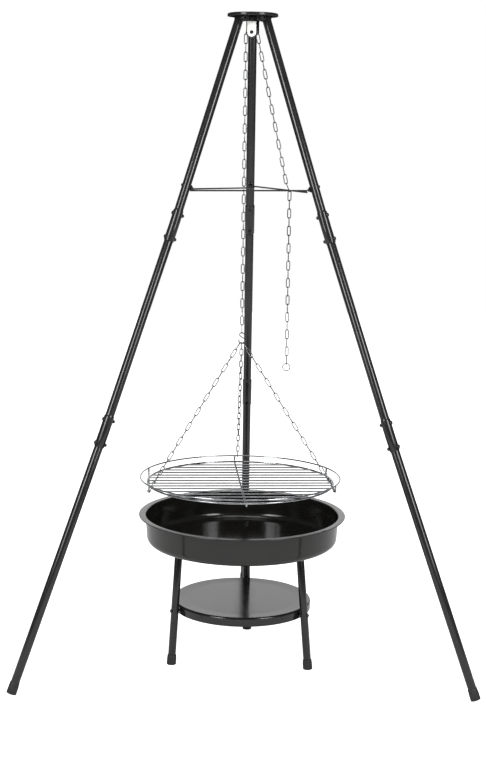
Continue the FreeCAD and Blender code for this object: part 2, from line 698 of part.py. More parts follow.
def shelf_bolts():
    bolts, nuts = [], []
    for azimuth in LEG_AZIMUTH.values():
        centre, axis = shelf_bolt_place(azimuth)
        out = centre + axis * (STAND_TUBE_R + HEAD_GAP)
        skirt = polar(SHELF_R - SHELF_T, azimuth + STAND_TURN, SHELF_BOLT_Z) + lean(SHELF_BOLT_Z)
        into = skirt - axis * 0.1
        bolts.append(cylinder(into - axis * THREAD_OUT, out, BOLT_R).fuse(
            round_head(out, axis, HEAD_R, 2.0)))
        nuts.append(hexagon(into, axis * -1, NUT_ACROSS, NUT_H, BOLT_R + 0.05))
    return bolts, nuts


# ---------------------------------------------------------------- all nodes

def build():
    nodes = {"top_plate": [top_plate()]}
    for name, azimuth in LEG_AZIMUTH.items():
        nodes["leg_clevis_" + name] = [clevis(azimuth)]
        upper, middle, lower = leg_tubes(azimuth)
        nodes["leg_upper_" + name] = [upper]
        nodes["leg_middle_" + name] = [middle]
        nodes["leg_lower_" + name] = [lower]
        nodes["leg_tip_" + name] = [leg_tip(azimuth)]
    nodes["pivot_bolts"], nodes["pivot_nuts"] = pivot_bolts()
    nodes["joint_bolts"], nodes["joint_nuts"] = joint_bolts()
    nodes["brace_rod_front"] = [brace_rod(-30.0, -150.0)]
    nodes["brace_rod_left"] = [brace_rod(-150.0, 90.0)]
    nodes["brace_rod_right"] = [brace_rod(90.0, -30.0)]
    nodes["brace_bolts"], nodes["brace_nuts"] = brace_bolts()

    bracket, pin, sheave, channel, channel_bolt = pulley_parts()
    nodes["pulley_bracket"] = [bracket]
    nodes["pulley_axle"] = [pin]
    nodes["pulley_sheave"] = [sheave]
    nodes["pulley_hanger"] = [channel]
    nodes["pulley_hanger_bolt"] = [channel_bolt]

    upper_end = HEAD_LINKS + UPPER_LINKS
    nodes["chain_over_pulley"] = over_pulley()
    nodes["chain_slant"] = slanting_run()
    nodes["chain_head_link"] = main_run(0, HEAD_LINKS)
    nodes["chain_main_upper"] = main_run(HEAD_LINKS, upper_end)
    nodes["chain_main_lower"] = main_run(upper_end, MAIN_LINKS)
    nodes["chain_tail"], end_ring = tail_run()
    nodes["chain_end_ring"] = [end_ring]

    nodes["main_hook"] = [main_hook()]
    for name in ("left", "right", "rear"):
        links, hook, count = hanger(name)
        nodes["hanger_chain_" + name] = links
        nodes["hanger_hook_" + name] = [hook]
        print("hanger", name, "links", count)
    nodes["grate_rim"] = [ring(V(GRATE_X, GRATE_Y, RIM_Z), RIM_R, RIM_WIRE)]
    nodes["grate_railing"] = [ring(V(GRATE_X, GRATE_Y, RAIL_Z), RAIL_R, RAIL_WIRE)]
    nodes["grate_bars"] = grate_bars()
    nodes["grate_crossbars"] = [crossbar(u) for u in (-CROSS_SIDE, 0.0, CROSS_SIDE)]

    stand = {"fire_bowl": [bowl_shell()], "shelf": [shelf()], "bowl_bolts": bowl_bolts(),
             "stand_leg_plugs": []}
    for name, azimuth in LEG_AZIMUTH.items():
        leg, plug, cap = stand_leg(azimuth)
        stand["stand_leg_" + name] = [leg]
        stand["stand_cap_" + name] = [cap]
        stand["stand_leg_plugs"].append(plug)
    stand["shelf_bolts"], stand["shelf_nuts"] = shelf_bolts()
    for name, shapes in stand.items():
        for shape in shapes:
            shape.translate(V(BOWL_X, BOWL_Y, 0))
        nodes[name] = shapes
    return nodes


def export(nodes):
    os.makedirs("parts", exist_ok=True)
    extent = FreeCAD.BoundBox()
    for shapes in nodes.values():
        for shape in shapes:
            extent.add(shape.optimalBoundingBox(True, False))
    move = V(0, -extent.Center.y, 0)
    print("moved by", round(move.y, 3), "x centre", round(extent.Center.x, 3),
          "size", round(extent.XLength, 2), round(extent.YLength, 2), round(extent.ZLength, 2),
          "lowest", round(extent.ZMin, 3))
    for name, shapes in nodes.items():
        solids = []
        for shape in shapes:
            shape.translate(move)
            solids.extend(shape.Solids)
        bad = [s for s in solids if not s.isValid() or s.Volume <= 0]
        if bad or len(solids) != len(shapes):
            print("check", name, "solids", len(solids), "shapes", len(shapes), "bad", len(bad))
        whole = solids[0] if len(solids) == 1 else Part.makeCompound(solids)
        whole.exportStep("parts/" + name + ".step")
    print(len(nodes), "nodes")


export(build())
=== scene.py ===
import json
import math

import bmesh
import bpy
from mathutils import Matrix, Quaternion, Vector


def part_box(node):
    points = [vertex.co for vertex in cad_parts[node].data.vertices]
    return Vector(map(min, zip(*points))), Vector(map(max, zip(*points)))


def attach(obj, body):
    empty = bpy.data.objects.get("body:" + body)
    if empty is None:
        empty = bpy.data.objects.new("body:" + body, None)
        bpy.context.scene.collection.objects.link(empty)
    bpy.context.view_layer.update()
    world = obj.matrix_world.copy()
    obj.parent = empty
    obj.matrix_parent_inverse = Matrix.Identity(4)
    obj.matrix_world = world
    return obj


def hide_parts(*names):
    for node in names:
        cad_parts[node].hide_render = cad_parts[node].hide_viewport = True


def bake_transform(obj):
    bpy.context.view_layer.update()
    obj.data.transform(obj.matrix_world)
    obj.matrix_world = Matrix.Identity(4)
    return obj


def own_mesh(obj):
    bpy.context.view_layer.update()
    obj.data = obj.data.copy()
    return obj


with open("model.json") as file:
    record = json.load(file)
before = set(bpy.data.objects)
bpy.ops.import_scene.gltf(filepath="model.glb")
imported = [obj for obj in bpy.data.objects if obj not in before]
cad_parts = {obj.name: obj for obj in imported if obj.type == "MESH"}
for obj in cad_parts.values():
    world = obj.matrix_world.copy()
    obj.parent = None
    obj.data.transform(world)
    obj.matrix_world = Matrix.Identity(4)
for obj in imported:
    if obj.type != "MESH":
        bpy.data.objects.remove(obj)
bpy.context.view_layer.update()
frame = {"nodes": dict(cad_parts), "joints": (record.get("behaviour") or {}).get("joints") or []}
bpy.context.scene.view_settings.view_transform = "Standard"


# ------------------------------------------------------------------ stand-in studio
# A pale sweep in a dim room, with a white cloth behind it and soft boxes on both sides of
# the camera and overhead. The boxes draw the thin light lines down the coated tubes, and
# the cloth is what the shelf's top mirrors. The camera itself sees plain white all round.

CAMERA_PLACE = (-0.0119, -4.04336, 1.3675)
CAMERA_PITCH = 9.33
CAMERA_ROLL = 0.80
LENS = 72.17
FLOOR_SIZE = 15.0
FLOOR_GLOW = 0.08
ROOM_MIRRORED, ROOM_FILL = 0.05, 0.8
CLOTH_DEPTH, CLOTH_RISE, CLOTH_GLOW = (0.78, 0.88), (0.06, 0.2), 1.12
SUBJECT_Y = -0.16
BOX_AZIMUTH, BOX_DISTANCE = 42, 3.2
LOW_BOX, HIGH_BOX, TOP_BOX = 1.35, 2.6, 4.2


def unselect():
    if bpy.context.object and bpy.context.object.mode != "OBJECT":
        bpy.ops.object.mode_set(mode="OBJECT")
    bpy.ops.object.select_all(action="DESELECT")


def add_node(tree, kind, settings=None, links=None):
    """One node, with its inputs or properties set and its inputs linked by name."""
    node = tree.nodes.new(kind)
    for key, value in (settings or {}).items():
        if key in node.inputs:
            node.inputs[key].default_value = value
        else:
            setattr(node, key, value)
    for key, socket in (links or {}).items():
        tree.links.new(socket, node.inputs[key])
    return node


def paint(hex_colour):
    """A colour as picked on a screen, turned to the linear values a shader takes."""
    parts = [int(hex_colour[i:i + 2], 16) / 255.0 for i in (1, 3, 5)]
    linear = [c / 12.92 if c <= 0.04045 else ((c + 0.055) / 1.055) ** 2.4 for c in parts]
    return (*linear, 1.0)


unselect()
bpy.ops.mesh.primitive_plane_add(size=FLOOR_SIZE, location=(0, 0, 0))
floor = bpy.context.object
floor.name = "studio_floor"
floor_paint = bpy.data.materials.new("matt_white_sweep")
floor_paint.use_nodes = True
shader = floor_paint.node_tree.nodes["Principled BSDF"]
shader.inputs["Base Color"].default_value = paint("#c2c2c2")
shader.inputs["Roughness"].default_value = 1.0
shader.inputs["Specular IOR Level"].default_value = 0.0
shader.inputs["Emission Color"].default_value = paint("#ffffff")
tree = floor_paint.node_tree
ray = add_node(tree, "ShaderNodeLightPath")
glow = add_node(tree, "ShaderNodeMapRange", {"To Min": FLOOR_GLOW, "To Max": 1.0},
                {"Value": ray.outputs["Is Camera Ray"]})
tree.links.new(glow.outputs["Result"], shader.inputs["Emission Strength"])
floor.data.materials.append(floor_paint)

room = bpy.data.worlds.new("studio_room")
bpy.context.scene.world = room
room.use_nodes = True
tree = room.node_tree
tree.nodes.clear()
where = add_node(tree, "ShaderNodeTexCoord")
way = add_node(tree, "ShaderNodeSeparateXYZ", links={"Vector": where.outputs["Generated"]})
behind = add_node(tree, "ShaderNodeMapRange",
                  {"From Min": CLOTH_DEPTH[0], "From Max": CLOTH_DEPTH[1]},
                  {"Value": way.outputs["Y"]})
above = add_node(tree, "ShaderNodeMapRange",
                 {"From Min": CLOTH_RISE[0], "From Max": CLOTH_RISE[1], "To Max": CLOTH_GLOW},
                 {"Value": way.outputs["Z"]})
cloth = add_node(tree, "ShaderNodeMath", {"operation": "MULTIPLY"})
tree.links.new(behind.outputs["Result"], cloth.inputs[0])
tree.links.new(above.outputs["Result"], cloth.inputs[1])
dim = add_node(tree, "ShaderNodeMath", {"operation": "ADD"})
tree.links.new(cloth.outputs["Value"], dim.inputs[0])
dim.inputs[1].default_value = ROOM_MIRRORED
ray = add_node(tree, "ShaderNodeLightPath")
soft = add_node(tree, "ShaderNodeMix")
tree.links.new(ray.outputs["Is Diffuse Ray"], soft.inputs[0])
tree.links.new(dim.outputs["Value"], soft.inputs[2])
soft.inputs[3].default_value = ROOM_FILL
white = add_node(tree, "ShaderNodeMix")
tree.links.new(ray.outputs["Is Camera Ray"], white.inputs[0])
tree.links.new(soft.outputs[0], white.inputs[2])
white.inputs[3].default_value = 1.0
glow = add_node(tree, "ShaderNodeBackground", {"Color": (1, 1, 1, 1)},
                {"Strength": white.outputs[0]})
add_node(tree, "ShaderNodeOutputWorld", links={"Surface": glow.outputs["Background"]})


def soft_box(name, azimuth, distance, height, width, tall, power, aim_height):
    """A rectangular light at an azimuth from the front, turned to face the tripod."""
    turn = math.radians(azimuth)
    spot = Vector((math.sin(turn) * distance, SUBJECT_Y - math.cos(turn) * distance, height))
    aim = Vector((0, SUBJECT_Y, aim_height))
    lamp = bpy.data.lights.new(name, "AREA")
    lamp.shape = "RECTANGLE"
    lamp.size = width
    lamp.size_y = tall
    lamp.energy = power
    holder = bpy.data.objects.new(name, lamp)
    holder.location = spot
    holder.rotation_euler = (aim - spot).to_track_quat("-Z", "Y").to_euler()
    bpy.context.scene.collection.objects.link(holder)


for side, azimuth in (("left", -BOX_AZIMUTH), ("right", BOX_AZIMUTH)):
    soft_box("low_box_" + side, azimuth, BOX_DISTANCE, LOW_BOX, 1.2, 0.8, 19, LOW_BOX)
    soft_box("high_box_" + side, azimuth, BOX_DISTANCE, HIGH_BOX, 1.0, 1.8, 75, HIGH_BOX)
soft_box("soft_box_top", 0, 0.2, TOP_BOX, 2.0, 2.0, 40, 0)

lens = bpy.data.cameras.new("studio_camera")
lens.lens = LENS
lens.sensor_width = 36.0
lens.sensor_fit = "AUTO"
lens.clip_end = 200.0
camera = bpy.data.objects.new("studio_camera", lens)
camera.location = CAMERA_PLACE
tilt = Matrix.Rotation(math.radians(90.0 - CAMERA_PITCH), 4, "X")
camera.rotation_euler = (tilt @ Matrix.Rotation(math.radians(CAMERA_ROLL), 4, "Z")).to_euler()
bpy.context.scene.collection.objects.link(camera)
bpy.context.scene.camera = camera


# ------------------------------------------------------------------ top plate
# A round pressed steel plate, 2 mm thick with a turned-down rim, powder coated black.
# Three folded clevises are welded under it for the legs, and between them a channel
# with a long back plate for the pulley.

MM = 0.001


def coated_steel(name, colour, rough_low, rough_high, peel_mm, peel_height):
    """Baked coating on steel: fine orange peel, and a sheen that is never quite even."""
    made = bpy.data.materials.new(name)
    made.use_nodes = True
    tree = made.node_tree
    shader = tree.nodes["Principled BSDF"]
    place = add_node(tree, "ShaderNodeTexCoord")
    cloud = add_node(tree, "ShaderNodeTexNoise", {"Scale": 1 / 0.045, "Detail": 3.0},
                     {"Vector": place.outputs["Object"]})
    speck = add_node(tree, "ShaderNodeTexNoise", {"Scale": 1 / 0.0012, "Detail": 1.0},
                     {"Vector": place.outputs["Object"]})
    tone = add_node(tree, "ShaderNodeMapRange",
                    {"From Min": 0.35, "From Max": 0.7, "To Min": 0.0, "To Max": 1.0},
                    {"Value": cloud.outputs["Fac"]})
    shade = add_node(tree, "ShaderNodeMix", {"data_type": "RGBA"})
    tree.links.new(tone.outputs["Result"], shade.inputs[0])
    shade.inputs[6].default_value = paint(colour[0])
    shade.inputs[7].default_value = paint(colour[1])
    tree.links.new(shade.outputs[2], shader.inputs["Base Color"])
    rough = add_node(tree, "ShaderNodeMapRange",
                     {"From Min": 0.3, "From Max": 0.7,
                      "To Min": rough_low, "To Max": rough_high},
                     {"Value": speck.outputs["Fac"]})
    tree.links.new(rough.outputs["Result"], shader.inputs["Roughness"])
    peel = add_node(tree, "ShaderNodeTexNoise", {"Scale": 1 / (peel_mm * MM), "Detail": 1.5},
                    {"Vector": place.outputs["Object"]})
    relief = add_node(tree, "ShaderNodeBump", {"Strength": 1.0, "Distance": peel_height * MM},
                      {"Height": peel.outputs["Fac"]})
    tree.links.new(relief.outputs["Normal"], shader.inputs["Normal"])
    return made


# Polyester powder coating, sprayed and baked: satin black, so a lamp shows as a thin
# soft line along a tube, a little broken by orange peel about 2 mm wide.
black_powder_coat = coated_steel("black_powder_coat", ("#19191a", "#202021"),
                                 0.15, 0.22, 2.2, 0.008)


def wear(piece, material):
    piece.data.materials.clear()
    piece.data.materials.append(material)


def settle(piece, name, body, slot, material, *nodes, angle=35):
    """Puts a finished mesh on its body: place in the mesh, smooth, coated, and named."""
    unselect()
    piece.select_set(True)
    bpy.context.view_layer.objects.active = piece
    bpy.ops.object.transform_apply(location=True, rotation=True, scale=True)
    bpy.ops.object.shade_smooth_by_angle(angle=math.radians(angle))
    piece.name = name
    piece.data.name = name
    wear(piece, material)
    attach(piece, body)
    if nodes:
        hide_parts(*nodes)
    return piece


def keep_cad(material, *nodes):
    """These CAD nodes already have the real shape, so they only take the finish."""
    for node in nodes:
        wear(frame["nodes"][node], material)


def middle(node):
    low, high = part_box(node)
    return (low + high) / 2


def edit(piece):
    bpy.context.view_layer.objects.active = piece
    piece.select_set(True)
    bpy.ops.object.mode_set(mode="EDIT")
    bpy.ops.mesh.select_all(action="DESELECT")


def pick(piece, kind, test):
    """Selects the faces, edges or verts of a mesh in edit mode that pass a test."""
    bpy.ops.mesh.select_all(action="DESELECT")
    bpy.ops.mesh.select_mode(type={"faces": "FACE", "edges": "EDGE", "verts": "VERT"}[kind])
    mesh = bmesh.from_edit_mesh(piece.data)
    for item in getattr(mesh, kind):
        if test(item):
            item.select_set(True)
    mesh.select_flush_mode()
    bmesh.update_edit_mesh(piece.data)


def mid_edge(edge):
    return (edge.verts[0].co + edge.verts[1].co) / 2


AXIS = middle("top_plate")
PLATE_LOW, PLATE_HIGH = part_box("top_plate")
PLATE_R = (PLATE_HIGH.x - PLATE_LOW.x) / 2
PLATE_TOP = PLATE_HIGH.z
PLATE_T = 2.0 * MM
PLATE_RIM = PLATE_HIGH.z - PLATE_LOW.z
PLATE_EDGE, RIM_EDGE = 3.0 * MM, 0.5 * MM


def radius_at(point):
    return math.hypot(point.x - AXIS.x, point.y - AXIS.y)


unselect()
bpy.ops.mesh.primitive_cylinder_add(vertices=96, radius=PLATE_R, depth=PLATE_T,
                                    location=(AXIS.x, AXIS.y, PLATE_TOP - PLATE_T / 2))
plate = bpy.context.object
bpy.ops.object.transform_apply(location=True, rotation=True, scale=True)
edit(plate)
pick(plate, "faces", lambda f: f.normal.z < -0.9)
bpy.ops.mesh.inset(thickness=PLATE_T)
pick(plate, "faces", lambda f: f.normal.z < -0.9
     and radius_at(f.calc_center_median()) > PLATE_R - PLATE_T)
bpy.ops.mesh.extrude_region_move(TRANSFORM_OT_translate={"value": (0, 0, PLATE_T - PLATE_RIM)})
pick(plate, "edges", lambda e: mid_edge(e).z > PLATE_TOP - 0.1 * MM
     and radius_at(mid_edge(e)) > PLATE_R - 1 * MM)
bpy.ops.mesh.bevel(offset=PLATE_EDGE, segments=6, affect="EDGES")
pick(plate, "edges", lambda e: mid_edge(e).z < PLATE_TOP - PLATE_T - 1 * MM
     and abs(e.verts[0].co.z - e.verts[1].co.z) < 0.1 * MM)
bpy.ops.mesh.bevel(offset=RIM_EDGE, segments=2, affect="EDGES")
bpy.ops.object.mode_set(mode="OBJECT")
settle(plate, "top_plate_pressing", "frame", "black_tube", black_powder_coat, "top_plate")
keep_cad(black_powder_coat, "leg_clevis_left", "leg_clevis_right", "leg_clevis_back",
         "pulley_hanger")


# ------------------------------------------------------------------ tripod legs
# Each leg is three lengths of 22 mm steel tube, 1.5 mm wall, powder coated. The upper
# and middle lengths have their lower end swaged out to a sleeve that takes the next.

LEG_AZIMUTH = {"left": -150.0, "right": -30.0, "back": 90.0}
LEG_LINE = ((37.7, 1641.0), (217.0, 1132.0), (405.0, 632.0), (656.0, 0.0))
TUBE_R = 11.0 * MM
SLEEVE_R = 12.6 * MM
SLEEVE_HALF = 39.0 * MM
SWAGE = 5.0 * MM
SOCKET_DEPTH, SOCKET_PLAY = 12.0 * MM, 0.15 * MM
KINK_R = 150.0 * MM
LEG_ABOVE, LEG_BELOW = 5.0 * MM, 0.5 * MM
FOOT_GAP = 7.3 * MM


def round_section(centre, direction, radius, sides):
    """A filled circle square to a direction, ready in edit mode to be drawn along."""
    unselect()
    bpy.ops.mesh.primitive_circle_add(
        vertices=sides, radius=radius, fill_type="NGON", location=centre,
        rotation=Vector(direction).to_track_quat("Z", "Y").to_euler())
    piece = bpy.context.object
    bpy.ops.object.transform_apply(location=True, rotation=True, scale=True)
    bpy.ops.object.mode_set(mode="EDIT")
    bpy.ops.mesh.select_mode(type="FACE")
    bpy.ops.mesh.select_all(action="SELECT")
    return piece


def run(step):
    bpy.ops.mesh.extrude_region_move(TRANSFORM_OT_translate={"value": tuple(step)})


def swell(centre, factor):
    bpy.ops.transform.resize(value=(factor, factor, factor), center_override=tuple(centre))


def bend(centre, axis, degrees, steps):
    """Draws the end round a centre; spin turns against the right-hand rule."""
    bpy.ops.mesh.spin(steps=steps, angle=-math.radians(degrees), center=tuple(centre),
                      axis=tuple(axis))


def round_off(piece, offset, segments, degrees=40):
    """A small even bevel on every sharp edge."""
    bpy.ops.object.mode_set(mode="OBJECT")
    unselect()
    piece.select_set(True)
    bpy.context.view_layer.objects.active = piece
    cut = piece.modifiers.new("edge", "BEVEL")
    cut.width = offset
    cut.segments = segments
    cut.limit_method = "ANGLE"
    cut.angle_limit = math.radians(degrees)
    cut.harden_normals = False
    bpy.ops.object.modifier_apply(modifier="edge")


def leg_spots(azimuth):
    turn = math.radians(azimuth)
    return [Vector((AXIS.x + r * MM * math.cos(turn), AXIS.y + r * MM * math.sin(turn), z * MM))
            for r, z in LEG_LINE]


def open_mouth(direction, radius, bore, depth):
    """Hollows the selected end face: a wall, then a bore drawn back into the tube."""
    bpy.ops.mesh.inset(thickness=radius - bore)
    run(-direction * depth)


def leg_tube(name, azimuth, level):
    """One length of a leg. Levels 0 and 1 end in a sleeve that leans with the next."""
    spots = leg_spots(azimuth)
    down = [(spots[k + 1] - spots[k]).normalized() for k in range(3)]
    way = down[level]
    joint = spots[level + 1]
    start = spots[level] + way * (LEG_BELOW if level else -LEG_ABOVE)
    if level == 2:
        end = joint - way * FOOT_GAP
        piece = round_section(start, way, TUBE_R, 40)
        run(end - start)
        round_off(piece, 0.3 * MM, 2)
        return settle(piece, name, "frame", "black_tube", black_powder_coat)
    turn = way.angle(down[level + 1])
    hinge = way.cross(down[level + 1]).normalized()
    reach = KINK_R * math.tan(turn / 2)
    centre = joint - way * reach + hinge.cross(way) * KINK_R
    swage = joint - way * (SLEEVE_HALF + SWAGE)
    piece = round_section(start, way, TUBE_R, 40)
    run(swage - start)
    run(way * SWAGE * 0.35)
    swell(swage + way * SWAGE * 0.35, 1.02)
    run(way * SWAGE * 0.5)
    swell(swage + way * SWAGE * 0.85, SLEEVE_R / TUBE_R / 1.03)
    run(way * SWAGE * 0.15)
    swell(swage + way * SWAGE, 1.03 / 1.02)
    run(joint - way * reach - (swage + way * SWAGE))
    bend(centre, hinge, math.degrees(turn), 2)
    lean = down[level + 1]
    run(lean * (SLEEVE_HALF - reach))
    open_mouth(lean, SLEEVE_R, TUBE_R + SOCKET_PLAY, SOCKET_DEPTH)
    round_off(piece, 0.35 * MM, 2)
    return settle(piece, name, "frame", "black_tube", black_powder_coat)


for side, azimuth in LEG_AZIMUTH.items():
    for level, part in enumerate(("upper", "middle", "lower")):
        tube = leg_tube("leg_tube_" + part + "_" + side, azimuth, level)
        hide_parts("leg_" + part + "_" + side)


# ------------------------------------------------------------------ bolts and nuts
# M5 pan heads and hexagon nuts hold the sleeves and the leg tops, and M4 ones the
# spreader. They are steel with a black zinc finish, duller than the coating round them.

def plated(name, tones, rough, grain_mm, blotch, metal=1.0):
    """Electroplated metal: a fine grain in the shine and slight clouds in the tone."""
    made = bpy.data.materials.new(name)
    made.use_nodes = True
    tree = made.node_tree
    shader = tree.nodes["Principled BSDF"]
    shader.inputs["Metallic"].default_value = metal
    place = add_node(tree, "ShaderNodeTexCoord")
    cloud = add_node(tree, "ShaderNodeTexNoise", {"Scale": 1 / (blotch * MM), "Detail": 4.0},
                     {"Vector": place.outputs["Object"]})
    tone = add_node(tree, "ShaderNodeValToRGB", links={"Fac": cloud.outputs["Fac"]})
    tone.color_ramp.elements[0].position = 0.32
    tone.color_ramp.elements[0].color = paint(tones[0])
    tone.color_ramp.elements[1].position = 0.68
    tone.color_ramp.elements[1].color = paint(tones[1])
    tree.links.new(tone.outputs["Color"], shader.inputs["Base Color"])
    grain = add_node(tree, "ShaderNodeTexNoise", {"Scale": 1 / (grain_mm * MM), "Detail": 2.0},
                     {"Vector": place.outputs["Object"]})
    shine = add_node(tree, "ShaderNodeMapRange",
                     {"From Min": 0.3, "From Max": 0.7, "To Min": rough[0], "To Max": rough[1]},
                     {"Value": grain.outputs["Fac"]})
    tree.links.new(shine.outputs["Result"], shader.inputs["Roughness"])
    relief = add_node(tree, "ShaderNodeBump", {"Strength": 0.5, "Distance": 0.01 * MM},
                      {"Height": grain.outputs["Fac"]})
    tree.links.new(relief.outputs["Normal"], shader.inputs["Normal"])
    return made


# Black zinc on steel: dark grey metal, half dull, so only its edges catch the lamps.
black_zinc = plated("black_zinc_plate", ("#3a3a3b", "#4a4a4b"), (0.35, 0.5), 0.6, 9.0)
keep_cad(black_zinc, "joint_bolts", "joint_nuts", "pivot_bolts", "pivot_nuts",
         "brace_bolts", "brace_nuts", "pulley_hanger_bolt", "shelf_bolts", "shelf_nuts",
         "bowl_bolts", "stand_leg_plugs")


# ------------------------------------------------------------------ rubber feet
# Moulded rubber crutch tips pushed over the tube ends, with a collar at the mouth. The
# lower edge has worn to a small flat where it meets the ground.

def moulded_rubber(name):
    """Carbon-black rubber from a mould: matt, grey at glancing angles, finely pitted."""
    made = bpy.data.materials.new(name)
    made.use_nodes = True
    tree = made.node_tree
    shader = tree.nodes["Principled BSDF"]
    place = add_node(tree, "ShaderNodeTexCoord")
    dust = add_node(tree, "ShaderNodeTexNoise", {"Scale": 1 / 0.012, "Detail": 5.0},
                    {"Vector": place.outputs["Object"]})
    tone = add_node(tree, "ShaderNodeValToRGB", links={"Fac": dust.outputs["Fac"]})
    tone.color_ramp.elements[0].position = 0.35
    tone.color_ramp.elements[0].color = paint("#171717")
    tone.color_ramp.elements[1].position = 0.75
    tone.color_ramp.elements[1].color = paint("#232322")
    tree.links.new(tone.outputs["Color"], shader.inputs["Base Color"])
    pits = add_node(tree, "ShaderNodeTexNoise", {"Scale": 1 / 0.0008, "Detail": 2.0},
                    {"Vector": place.outputs["Object"]})
    rough = add_node(tree, "ShaderNodeMapRange", {"To Min": 0.5, "To Max": 0.75},
                     {"Value": pits.outputs["Fac"]})
    tree.links.new(rough.outputs["Result"], shader.inputs["Roughness"])
    relief = add_node(tree, "ShaderNodeBump", {"Strength": 0.6, "Distance": 0.04 * MM},
                      {"Height": pits.outputs["Fac"]})
    tree.links.new(relief.outputs["Normal"], shader.inputs["Normal"])
    return made


black_rubber = moulded_rubber("moulded_black_rubber")
TIP_R = 12.6 * MM
TIP_LENGTH = 30.0 * MM
TIP_COLLAR = 9.0 * MM
TIP_LIFT = 3.3 * MM
SOLE_STEP, SOLE_ROUND = 0.8 * MM, 1.2 * MM
COLLAR_STEP, MOUTH_STEP = 0.6 * MM, 1.0 * MM
MOUTH_DEPTH, TIP_PLAY = 4.0 * MM, 0.1 * MM


def rubber_tip(name, bottom, up, radius, length, bore, collar):
    """A capped sleeve: rounded sole, plain barrel, a step to the collar, open mouth."""
    piece = round_section(bottom, up, radius - SOLE_STEP, 40)
    run(up * SOLE_ROUND)
    swell(bottom + up * SOLE_ROUND, radius / (radius - SOLE_STEP))
    run(up * (length - collar - SOLE_ROUND - SOLE_STEP))
    run(up * SOLE_STEP)
    swell(bottom + up * (length - collar), (radius - COLLAR_STEP) / radius)
    run(up * (collar - MOUTH_STEP))
    run(up * MOUTH_STEP)
    swell(bottom + up * length, (radius - MOUTH_STEP) / (radius - COLLAR_STEP))
    open_mouth(up, radius - MOUTH_STEP, bore, MOUTH_DEPTH)
    bpy.ops.mesh.select_all(action="SELECT")
    bpy.ops.mesh.bisect(plane_co=(0, 0, 0), plane_no=(0, 0, 1), clear_inner=True, use_fill=True)
    round_off(piece, 0.3 * MM, 2)
    piece.name = name
    return piece


for side, azimuth in LEG_AZIMUTH.items():
    spots = leg_spots(azimuth)
    up = (spots[2] - spots[3]).normalized()
    tip = rubber_tip("leg_foot_" + side, spots[3] + up * TIP_LIFT, up, TIP_R, TIP_LENGTH,
                     TUBE_R + TIP_PLAY, TIP_COLLAR)
    settle(tip, "leg_foot_" + side, "frame", "black_rubber", black_rubber,
           "leg_tip_" + side)


# ------------------------------------------------------------------ spreader triangle
# Three 4 mm steel rods, each bent to an eye on its own leg's bolt, cranked at the corner
# and welded to the underside of the next rod. Coated like the legs.

BRACE_ROD_R = 2.0 * MM
BRACE_Z = 1220.0 * MM
BRACE_BOLT_Z = 1229.0 * MM
BRACE_VERTEX_R = 162.0 * MM
BRACE_TURN = -2.5
BRACE_EYE_R = 5.2 * MM
BRACE_BOW = 3.0 * MM
BRACE_END = 6.0 * MM
BRACE_GAP = 0.05 * MM


def around(radius, azimuth, z):
    turn = math.radians(azimuth)
    return Vector((AXIS.x + radius * math.cos(turn), AXIS.y + radius * math.sin(turn), z))


def weld_bead(centre, along, radius, length):
    """A short bead laid by hand: a stretched drop with a slightly uneven back."""
    unselect()
    bpy.ops.mesh.primitive_uv_sphere_add(segments=12, ring_count=8, radius=1.0,
                                         location=(0, 0, 0))
    bead = bpy.context.object
    bead.scale = (radius, radius, length / 2)
    bead.rotation_euler = Vector(along).to_track_quat("Z", "Y").to_euler()
    bead.location = centre
    bpy.ops.object.transform_apply(location=True, rotation=True, scale=True)
    bpy.ops.object.mode_set(mode="EDIT")
    bpy.ops.mesh.select_all(action="SELECT")
    bpy.ops.transform.vertex_random(offset=radius * 0.12, seed=7)
    bpy.ops.object.mode_set(mode="OBJECT")
    return bead


def join(pieces):
    unselect()
    for piece in pieces:
        piece.select_set(True)
    bpy.context.view_layer.objects.active = pieces[0]
    if len(pieces) > 1:
        bpy.ops.object.join()
    return pieces[0]


def brace_rod(own, other):
    spots = leg_spots(own)
    down = (spots[1] - spots[0]).normalized()
    centre = spots[0] + down * ((spots[0].z - BRACE_BOLT_Z) / -down.z)
    radial = around(1.0, own, 0) - Vector((AXIS.x, AXIS.y, 0))
    out = (radial - down * radial.dot(down)).normalized()
    eye = centre - out * (TUBE_R + BRACE_ROD_R + 0.3 * MM)
    side = out.cross(down).normalized()
    aside = around(1.0, own - 90.0, 0) - Vector((AXIS.x, AXIS.y, 0))
    if side.dot(aside) < 0:
        side = -side
    near = around(BRACE_VERTEX_R, own + BRACE_TURN, BRACE_Z + BRACE_ROD_R + BRACE_GAP)
    far = around(BRACE_VERTEX_R, other + BRACE_TURN, BRACE_Z - BRACE_ROD_R - BRACE_GAP)
    loop = round_section(eye + side * BRACE_EYE_R, side.cross(out), BRACE_ROD_R, 16)
    bend(eye, out, 345.0 if side.cross(out).dot(out.cross(side)) > 0 else -345.0, 24)
    bpy.ops.object.mode_set(mode="OBJECT")
    foot = eye + side * (BRACE_EYE_R + 1.0 * MM)
    crank = round_section(foot, near - foot, BRACE_ROD_R, 16)
    inward, onward = (near - foot).normalized(), (far - near).normalized()
    turn = inward.angle(onward)
    hinge = inward.cross(onward).normalized()
    back = BRACE_BOW * math.tan(turn / 2)
    run(near - inward * back - foot)
    bend(near - inward * back + hinge.cross(inward) * BRACE_BOW, hinge, math.degrees(turn), 6)
    run(far + onward * BRACE_END - near - onward * back)
    round_off(crank, 0.4 * MM, 2)
    bead = weld_bead(far + Vector((0, 0, BRACE_ROD_R)) + onward * 1.5 * MM, onward,
                     2.2 * MM, 9.0 * MM)
    return join([crank, loop, bead])


for side, own, other in (("front", -30.0, -150.0), ("left", -150.0, 90.0),
                         ("right", 90.0, -30.0)):
    rod = brace_rod(own, other)
    settle(rod, "spreader_rod_" + side, "frame", "black_tube", black_powder_coat,
           "brace_rod_" + side)


